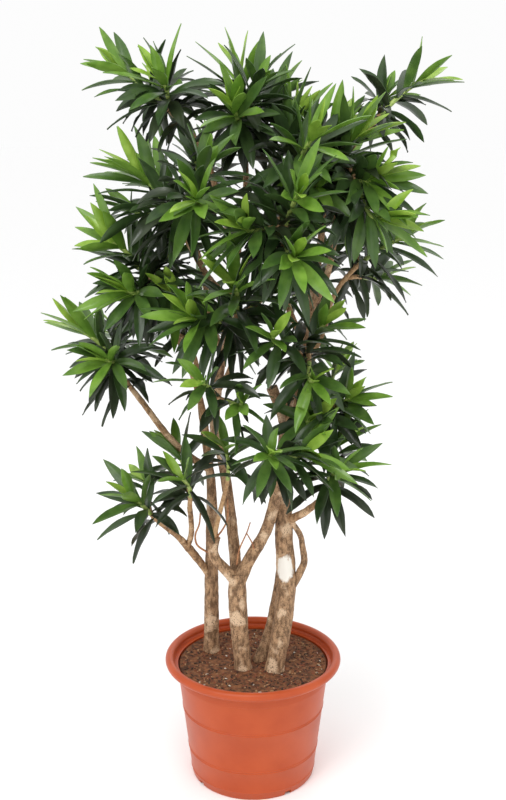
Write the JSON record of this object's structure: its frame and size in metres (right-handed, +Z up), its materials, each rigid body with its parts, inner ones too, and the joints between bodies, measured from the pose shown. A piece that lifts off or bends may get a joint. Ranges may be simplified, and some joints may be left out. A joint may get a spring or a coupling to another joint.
{
  "type": "potted song of india dracaena",
  "caption": "Potted song of india dracaena: bare grey-brown stems fork into boughs whose shoots end in rosettes of long green leaves, in a plain round pot.",
  "frame": {"origin": "middle of the pot's flat underside", "axes": "+Z up along the pot's axis; -Y is the plant's front, as the picture sees it; +X is to the picture's right"},
  "size_m": [0.8466, 0.8982, 1.6698],
  "materials": {
    "terracotta_plastic": "moulded, satin",
    "coir_soil": "loose coir and bark chips",
    "bark": "thin grey-brown bark",
    "foliage": "smooth leaves with a soft gloss"
  },
  "bodies": {
    "root": {"arm_front_left": "bark", "arm_front_middle": "bark", "arm_front_right": "bark", "bough_back_high": "bark", "bough_back_left": "bark", "bough_back_right": "bark", "bough_back_upper": "bark", "bough_centre": "bark", "bough_centre_low": "bark", "bough_centre_right": "bark", "bough_centre_top": "bark", "bough_front": "bark", "bough_front_high": "bark", "bough_left_high": "bark", "bough_left_mid": "bark", "bough_left_up": "bark", "bough_low_inner": "bark", "bough_low_left": "bark", "bough_right_high": "bark", "bough_right_low": "bark", "bough_right_mid": "bark", "bough_top": "bark", "bough_top_left": "bark", "bough_top_right": "bark", "bough_upper_right": "bark", "leaves_back_high": "foliage", "leaves_back_left": "foliage", "leaves_back_right": "foliage", "leaves_back_upper": "foliage", "leaves_centre": "foliage", "leaves_centre_low": "foliage", "leaves_centre_right": "foliage", "leaves_centre_top": "foliage", "leaves_front": "foliage", "leaves_front_high": "foliage", "leaves_left": "foliage", "leaves_left_high": "foliage", "leaves_left_mid": "foliage", "leaves_low_centre": "foliage", "leaves_low_inner": "foliage", "leaves_low_left": "foliage", "leaves_right": "foliage", "leaves_right_low": "foliage", "leaves_right_mid": "foliage", "leaves_top": "foliage", "leaves_top_left": "foliage", "leaves_top_right": "foliage", "leaves_upper_right": "foliage", "pot": "terracotta_plastic", "shoot_loop": "bark", "soil": "coir_soil", "stem_back": "bark", "stem_front": "bark", "stem_left": "bark", "stem_right": "bark"}
  },
  "joints": []
}
